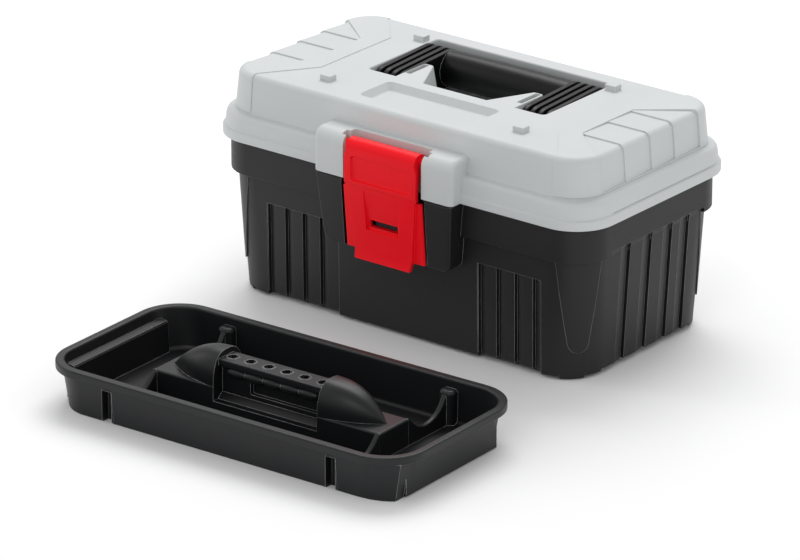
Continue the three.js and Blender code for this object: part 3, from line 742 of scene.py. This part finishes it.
def makeLid():
    t = lidSize
    body = lidLoft("lidShell", lidRim() + domeLevels(0))
    join(body, *bothEnds(endRaise()))
    cut(body, *shingles())
    join(body, latchBlock())
    hollow = [(4.8, 108), (4.8, 126.5), (6.2, 127.8), (t["wallFoot"] + 2.3, 128.4),
              (t["crest"] + 1.6, 149), (t["crest"] + 3.2, 152.8), (t["crest"] + 6, 154.4)]
    cut(body, lidLoft("hollow", hollow))
    halfX, halfY, _ = t["pocket"]
    shell = softLoft("pocketShell", (halfX + t["shell"], halfY + t["shell"], 5),
                     [(0, t["pocketFloor"] - t["shell"]), (0, 156)], t["pocketMiddle"])
    halfX, halfY, _ = t["panel"]
    pan = softLoft("panelShell", (halfX + t["shell"], halfY + t["shell"], 5), [(3, 149.6), (0, 156)],
                   t["panelMiddle"])
    join(body, shell, pan)
    pocket = softLoft("pocket", t["pocket"], roundFoot(t["pocketFloor"], 2, 4) + mouth(t["top"], 1.3),
                      t["pocketMiddle"])
    levels = [(4.4, 152), (3.6, 152.1), (3.0, 152.5), (0.6, 156), (-0.1, 156.8), (-0.4, 158)]
    cut(body, pocket, softLoft("panel", t["panel"], levels, t["panelMiddle"]))
    cut(body, *bothEnds(box("seam", (158.0, 165), (-54, 76), (118.1, 119))))
    join(body, *bothEnds(wing()))
    lugX, lugY = t["lugPlace"]
    join(body, *[lug(x, y) for x in (-lugX, lugX) for y in (-lugY, lugY)])
    for side in (-1, 1):
        cut(body, rod("socket", joints["trunnionSocket"], *sorted((side * 31, side * 35.8)), "x",
                      joints["trunnion"], 36))
        cut(body, rod("bore", joints["handleBore"], *sorted((side * 46.2, side * 77.4)), "x",
                      joints["handle"], 36))
        middle = side * joints["hingePlace"]
        x = (middle - t["knuckleHalf"], middle + t["knuckleHalf"])
        web = extrude("web", [(85, 109), (91, 109), (91, 113.5), (87, 115), (85, 115)], *x, "x")
        join(body, knuckle(x, web))
        cut(body, rod("bore", joints["hingeBore"], middle - 8, middle + 8, "x", joints["hinge"], 32))
    return body


lid = makeLid()
print("lid built")


latchSize = dict(
    face=-98.2, plate=3, lean=4, foot=57, waist=64, parting=111, half=30, topHalf=28.6, footHalf=22.8, roll=7,
    wingHalf=33, armInside=26, armRadius=4.6, stubEnd=35.4, frameHeight=121, frameDepth=1.6,
    slotHalf=11.6, slotHeight=(81, 86), hookDrop=4)


def arc(centre, radius, first, last, steps=12):
    turns = [math.radians(first + (last - first) * k / steps) for k in range(steps + 1)]
    return [(centre[0] + radius * math.cos(t), centre[1] + radius * math.sin(t)) for t in turns]


def latchSection():
    t = latchSize
    face, back = t["face"], t["face"] + t["plate"]
    lean, z = t["lean"], joints["trunnion"][1]
    front = [(face, t["parting"] - 0.8), (face + 0.9, t["parting"] - 1.8), (face + lean * 0.55 + 0.6, 84),
             (face + lean, t["waist"]), (face + lean - 1.6, t["foot"])]
    rear = [(back + lean - 1.6, t["foot"]), (back + lean, t["waist"]), (back, t["parting"]), (back, z - 5)]
    centre = (face + t["roll"], z - 1.5)
    inner = arc(centre, t["roll"] - t["plate"], 180, 15)
    outer = arc(centre, t["roll"], 15, 180)
    return front + rear + inner + outer


# the tapered recess that slopes in down to the slot
def latchWindow():
    t = latchSize
    slices = [(16.2, -0.6, 108), (15.6, 0.2, 107.2), (15.0, 1.0, 106.6), (14.0, 2.5, 85), (13.8, 2.6, 78.6)]
    rings = []
    for half, depth, z in slices:
        y = t["face"] + max(0, (t["parting"] - z)) * t["lean"] / (t["parting"] - t["waist"]) + depth
        rings.append([(-half, -112, z), (half, -112, z), (half, y, z), (-half, y, z)])
    return loft("window", list(reversed(rings)))


# the plate seen from the front, with a rounding for each corner
def latchMask():
    t = latchSize
    half, top, foot = t["half"], t["topHalf"], t["footHalf"]
    right = [(foot, 55.9), (24, 66), (28.4, 107.5), (half, 108.4), (half, 128.5), (top, 132.5), (top, 150)]
    rounding = [1.5, 6, 0.6, 0.6, 3, 1.5, 0]
    outline = right + [(-x, z) for x, z in reversed(right)]
    return extrude("mask", roundCorners(outline, rounding + rounding[::-1]), -125, -60, "y")


def makeLatch():
    t = latchSize
    face = t["face"]
    body = extrude("latchBody", latchSection(), -t["half"], t["half"], "x")
    common(body, latchMask())
    soften(body, 0.9, 3, lambda p, d: p.y < -95.1 and p.z < 139 or p.z < 57.2)
    outline = [(face + 6.8, 62.5), (face + 9, 62.5), (face + 5.2, 107), (face + 2.4, 107), (face + 2.8, 104)]
    wings = extrude("wings", outline, -t["wingHalf"], t["wingHalf"], "x")
    soften(wings, 1.4, 4, lambda p, d: abs(p.x) > t["wingHalf"] - 0.1)
    join(body, wings)
    y, z = joints["trunnion"]
    reach = face + t["plate"] - 1
    section = [(reach, 109), (y + 1, z - 6)] + arc((y, z), t["armRadius"], -45, 153) + [(reach, z)]
    for side in (-1, 1):
        arm = extrude("arm", section, *sorted((side * t["armInside"], side * t["topHalf"])), "x")
        x = sorted((side * t["armInside"], side * t["stubEnd"]))
        stub = rod("trunnion", joints["trunnionRadius"], *x, "x", (y, z), 36)
        join(body, arm, soften(stub, 0.4, 2, lambda p, d: abs(p.x) > 35))
    levels = [(1.0, 0), (0.5, 0.15), (0.1, 0.7), (0, 1.2), (-0.25, 1.6), (-0.35, 9)]
    frame = softLoft("frame", (24.6, 8.6, 2.6), levels)
    reshape(frame, lambda x, y, z: (x, face + t["frameDepth"] - z, t["frameHeight"] + y))
    faceOutwards(frame)
    slotX = (-t["slotHalf"], t["slotHalf"])
    cut(body, frame, latchWindow(), box("slot", slotX, (-115, -80), t["slotHeight"]))
    low = t["slotHeight"][0]
    hook = box("hook", slotX, (face + 4.4, face + 9.4), (low - t["hookDrop"], low))
    return join(body, soften(hook, 0.6, 2, lambda p, d: p.y > face + 9))


latch = makeLatch()
print("latch built")


handleSize = dict(
    grip=(45, 145), gripRadius=13, gripHalf=52, bulge=0.5, inner=50.8,
    finCount=4, finPitch=6.2, finThick=3.6, finRadius=13, webRadius=8.5)


def armOutline(first, last):
    grip, pivot = handleSize["grip"], joints["handle"]
    tilt = math.degrees(math.atan2(grip[1] - pivot[1], grip[0] - pivot[0]))
    return arc(pivot, first, 90 + tilt, 270 + tilt, 20) + arc(grip, last, -90 + tilt, 90 + tilt, 20)


def makeHandle():
    t = handleSize
    half, slices = t["gripHalf"], 24
    rings = []
    for k in range(slices + 1):
        x = -half + 2 * half * k / slices
        radius = t["gripRadius"] - t["bulge"] * (x / half) ** 2
        rings.append([(x, t["grip"][0] + radius * math.cos(a), t["grip"][1] + radius * math.sin(a))
                      for a in (2 * math.pi * j / 64 for j in range(64))])
    body = loft("handleBody", rings)
    outer = t["inner"] + (t["finCount"] - 1) * t["finPitch"] + t["finThick"]
    web = extrude("web", armOutline(t["webRadius"], t["webRadius"]), t["inner"], outer - 0.8, "x")
    fin = extrude("fin", armOutline(t["finRadius"] - 0.6, t["finRadius"] - 0.1), t["inner"],
                  t["inner"] + t["finThick"], "x")
    soften(fin, 0.7, 3)
    rowOf(fin, t["finCount"], (t["finPitch"], 0, 0), handlePlastic)
    join(body, web, mirrored(web), fin, mirrored(fin))
    return cut(body, rod("bore", joints["handleBore"], -80, 80, "x", joints["handle"], 36))


handle = makeHandle()
print("handle built")


# built about its own middle and then put in its place
traySize = dict(
    place=(31.1, -241.7), turn=1.85, rim=(145, 70.7, 31), height=31.5, lipFoot=26, lip=4.6,
    foot=(134.8, 65.1, 24), wall=2.2, wallTop=27, floor=1.1, spine=(92, 16), spineTop=21,
    railHalf=42, railWidth=16.6, railTop=38, railFoot=33.4, railPlace=-1.5, webHalf=4.5, openFloor=10.5,
    shoulderTop=42.5, shoulderLength=44, socketAcross=6.5, socketPitch=14.6, socketCount=6, socketDepth=9,
    gripCount=5, gripHalf=8, gripMiddle=(-6.2, 30), gripRadii=(4.4, 3.8),
    dividerX=(88.2, 92), channelX=90.2, panelLean=4.7)


def trayWall(inset=0):
    t = traySize
    top = [v - t["lip"] for v in t["rim"]]

    def result(z):
        share = z / t["wallTop"]
        return tuple(f + (w - f) * share - inset for f, w in zip(t["foot"], top))
    return result


def shoulder():
    t = traySize
    steps, sides = 22, 40
    rings = []
    for k in range(steps + 1):
        s = (k / steps) ** 0.8
        x = t["railHalf"] + t["shoulderLength"] * s
        wide = (t["spine"][1] - 0.3) * max(1 - s ** 2.2, 0.03)
        tall = (t["shoulderTop"] - t["spineTop"]) * max(1 - s ** 2.5, 0.03)
        ring = []
        for b in (math.pi * j / sides for j in range(sides + 1)):
            across, up = math.cos(b), math.sin(b)
            y = wide * math.copysign(abs(across) ** 0.72, across)
            ring.append((x, y, t["spineTop"] + tall * up ** 0.86))
        rings.append(ring + [(x, ring[-1][1], t["spineTop"] - 3), (x, ring[0][1], t["spineTop"] - 3)])
    return loft("shoulder", rings)


def socketPrism(name, across, low, high):
    t = traySize
    count, pitch = t["socketCount"], t["socketPitch"]
    first = -(count - 1) / 2 * pitch
    radius = across / math.sqrt(3)
    outline = [(first + radius * math.cos(a), t["railPlace"] + radius * math.sin(a))
               for a in (math.pi / 3 * k + math.pi / 6 for k in range(6))]
    return rowOf(extrude(name, outline, low, high, "z"), count, (pitch, 0, 0), trayPlastic)


def traySpine():
    t = traySize
    half, across = t["spine"]
    floor, middle, top = t["floor"], t["railPlace"], t["railTop"]
    body = box("spine", (-half, half), (-across, across), (floor, t["spineTop"]))
    soften(body, 1.6, 4, lambda p, d: p.z > 2)
    cut(body, box("gap", (-t["railHalf"], t["railHalf"]), (-20, 20), (t["openFloor"], 60)))
    side = shoulder()
    join(body, side, mirrored(side))
    railX, width = (-t["railHalf"] - 1, t["railHalf"] + 1), t["railWidth"]
    rail = box("rail", railX, (middle - width / 2, middle + width / 2), (t["railFoot"], top))
    soften(rail, 0.7, 3, lambda p, d: abs(d.x) > 0.9)
    web = box("web", railX, (middle - t["webHalf"], middle + t["webHalf"]), (floor, top - 1))
    niche = box("niche", (-19, 38), (middle - 6, middle - 1.2), (17.5, 27.6))
    cut(web, soften(niche, 1.0, 3, lambda p, d: abs(d.y) > 0.9))
    join(body, web, rail, fingerGrips())
    outline = [(-10.6, floor), (-10.6, 10.6), (-10.2, 11.4), (-6.8, 13.9), (-5.4, 14.3), (-5.4, floor)]
    join(body, extrude("apron", outline, *railX, "x"))
    join(body, socketPrism("socketRims", t["socketAcross"] + 1.5, top - 1, top + 0.35))
    return cut(body, socketPrism("sockets", t["socketAcross"], top - t["socketDepth"], top + 2))


# rounded swells under the front of the rail
def fingerGrips():
    t = traySize
    (middleY, middleZ), (radiusY, radiusZ), slices = t["gripMiddle"], t["gripRadii"], 12
    start = -t["socketPitch"] * (t["gripCount"] - 1) / 2
    rings = []
    for k in range(slices + 1):
        u = math.pi * k / slices
        size = max(math.sin(u), 0.1) ** 0.5
        rings.append([(start - t["gripHalf"] * math.cos(u), middleY + radiusY * size * math.cos(b),
                       middleZ + radiusZ * size * math.sin(b))
                      for b in (2 * math.pi * j / 20 for j in range(20))])
    return rowOf(loft("grip", rings), t["gripCount"], (t["socketPitch"], 0, 0), trayPlastic)


# a saddle from the spine's end to a post at the long wall, over the channel outside
def divider():
    t = traySize
    saddle = [(57, 24), (55, 21.4), (52.8, 18.2), (49.5, 14.8), (45, 12.2), (41.5, 11), (38, 10.4),
              (34, 10.1), (30.5, 10.6), (26, 12.4), (21.3, 15.8), (17.5, 19.6), (15, t["spineTop"])]
    outline = [(15, t["floor"]), (65.2, t["floor"]), (65.2, 24)] + saddle
    body = extrude("divider", outline, *t["dividerX"], "x")
    soften(body, 1.1, 3, lambda p, d: p.z > 3 and p.y < 57 and abs(d.x) < 0.5)
    levels = [(0, t["floor"]), (0, 22)] + roundTop(25.6, 2.6, 5)
    return join(body, softLoft("post", (5.8, 5.2, 4.4), levels, (t["channelX"], 61.6)))


# an upright channel in the long wall, open at the bottom
def channel():
    levels = [(0, -2), (0, 20)] + roundTop(22.5, 1.2, 3)
    return softLoft("channel", (3.9, 5.0, 1.2), levels, (traySize["channelX"], 64.6))


# the four copies of a shape, mirrored in x and in y
def fourTimes(piece):
    return [copy for end in bothEnds(piece) for copy in (end, mirrored(end, "y"))]


# a flat panel over the right end, its corner brought round to the long wall
def endPanel():
    outline = [(112, -64.4), (120, -63.8), (127, -61.6), (131.5, -59.2), (134.6, -57), (134.6, 46), (112, 46)]
    return loft("endPanel", [[(x + out * (x > 115), y - out * 0.2 * (y < 0), z) for x, y in outline]
                             for out, z in ((0, 0), (traySize["panelLean"], 26.2))])


def makeTray():
    t = traySize
    body = softLoft("trayBody", trayWall(), roundFoot(0, 0.9, 3) + [(0, t["wallTop"])], steps=14)
    levels = roundFoot(t["lipFoot"], 0.6, 3) + roundTop(t["height"], 1.2, 5)
    rim = softLoft("rim", t["rim"], levels, steps=14)
    join(body, endPanel())
    join(body, rim)
    levels = roundFoot(t["wall"], 3) + [(0, 26)] + mouth(t["height"], 1.4, 5)
    cut(body, softLoft("inside", trayWall(t["wall"]), levels, steps=14))
    join(body, traySpine())
    join(body, *fourTimes(divider()))
    outline = [(137, 1), (129.2, 1), (130.4, 23.2), (131.2, 24.2), (137, 25)]
    for ledge in bothEnds(extrude("ledge", outline, -49, 49, "y")):
        join(body, ledge)
    cut(body, *fourTimes(channel()))
    for x in ((48, 89.8), (-89.8, -48)):
        cut(body, box("under", x, (-13.8, 13.8), (-1, t["spineTop"] - 2.2)))
    placeX, placeY = t["place"]
    turn = math.radians(t["turn"])
    return reshape(body, lambda x, y, z: (placeX + x * math.cos(turn) - y * math.sin(turn),
                                          placeY + x * math.sin(turn) + y * math.cos(turn), z))


tray = makeTray()
print("tray built")


pieces = [
    (tub, "tubBody", "tub", tubPlastic),
    (lid, "lidShell", "lid", lidPlastic),
    (latch, "latchBody", "latch", latchPlastic),
    (handle, "handleBody", "handle", handlePlastic),
    (tray, "trayBody", "tray", trayPlastic),
]
for piece, name, node, finish in pieces:
    piece.name = name
    piece.data.materials.clear()
    piece.data.materials.append(finish)
    for polygon in piece.data.polygons:
        polygon.material_index = 0
    finishMesh(piece)
    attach(piece, node)
    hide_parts(node)
for node in ("handle_pin_left", "handle_pin_right", "hinge_pin_left", "hinge_pin_right"):
    frame["nodes"][node].material_slots[0].material = pinSteel
print("pieces on their bodies")


view = dict(eye=(2.2833, -2.9889, 1.5117), target=(-0.0597, 0, 0.0017), lens=268.7)
cameraData = bpy.data.cameras.new("camera")
cameraData.lens = view["lens"]
cameraData.clip_end = 50
camera = bpy.data.objects.new("camera", cameraData)
scene.collection.objects.link(camera)
camera.location = view["eye"]
direction = Vector(view["target"]) - Vector(view["eye"])
camera.rotation_euler = direction.to_track_quat("-Z", "Y").to_euler()
scene.camera = camera


def addArea(name, place, aim, size, watts):
    data = bpy.data.lights.new(name, "AREA")
    data.shape = "RECTANGLE"
    data.size, data.size_y = size
    data.energy = watts
    lamp = bpy.data.objects.new(name, data)
    scene.collection.objects.link(lamp)
    lamp.location = place
    lamp.rotation_euler = (Vector(aim) - Vector(place)).to_track_quat("-Z", "Y").to_euler()
    return lamp


boxMiddle = (0, 0, 0.06)
addArea("topLight", (-0.5, 0.9, 1.7), (0, -0.05, 0), (1.5, 1.2), 23)
addArea("leftLight", (-1.9, -0.9, 0.9), boxMiddle, (0.5, 1.4), 4.5)
addArea("rightLight", (2.2, 0.2, 0.7), boxMiddle, (0.5, 1.2), 2.8)
addArea("frontLight", (0.7, -2.2, 1.2), boxMiddle, (1.2, 0.8), 7)

world = bpy.data.worlds.new("studio")
scene.world = world
world.use_nodes = True
sky = world.node_tree.nodes["Background"]
sky.inputs["Color"].default_value = (1, 1, 1, 1)
sky.inputs["Strength"].default_value = 0.62

floorMesh = bpy.data.meshes.new("floor")
reach = 20
floorMesh.from_pydata([(-reach, -reach, 0), (reach, -reach, 0), (reach, reach, 0), (-reach, reach, 0)],
                      [], [(0, 1, 2, 3)])
floor = bpy.data.objects.new("floor", floorMesh)
scene.collection.objects.link(floor)
floorLook = bpy.data.materials.new("paleFloor")
floorLook.use_nodes = True
floorShader = floorLook.node_tree.nodes["Principled BSDF"]
floorShader.inputs["Base Color"].default_value = (0.96, 0.96, 0.965, 1)
floorShader.inputs["Roughness"].default_value = 0.9
floorMesh.materials.append(floorLook)
scene.view_settings.view_transform = "Standard"

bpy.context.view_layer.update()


print("scene ready")
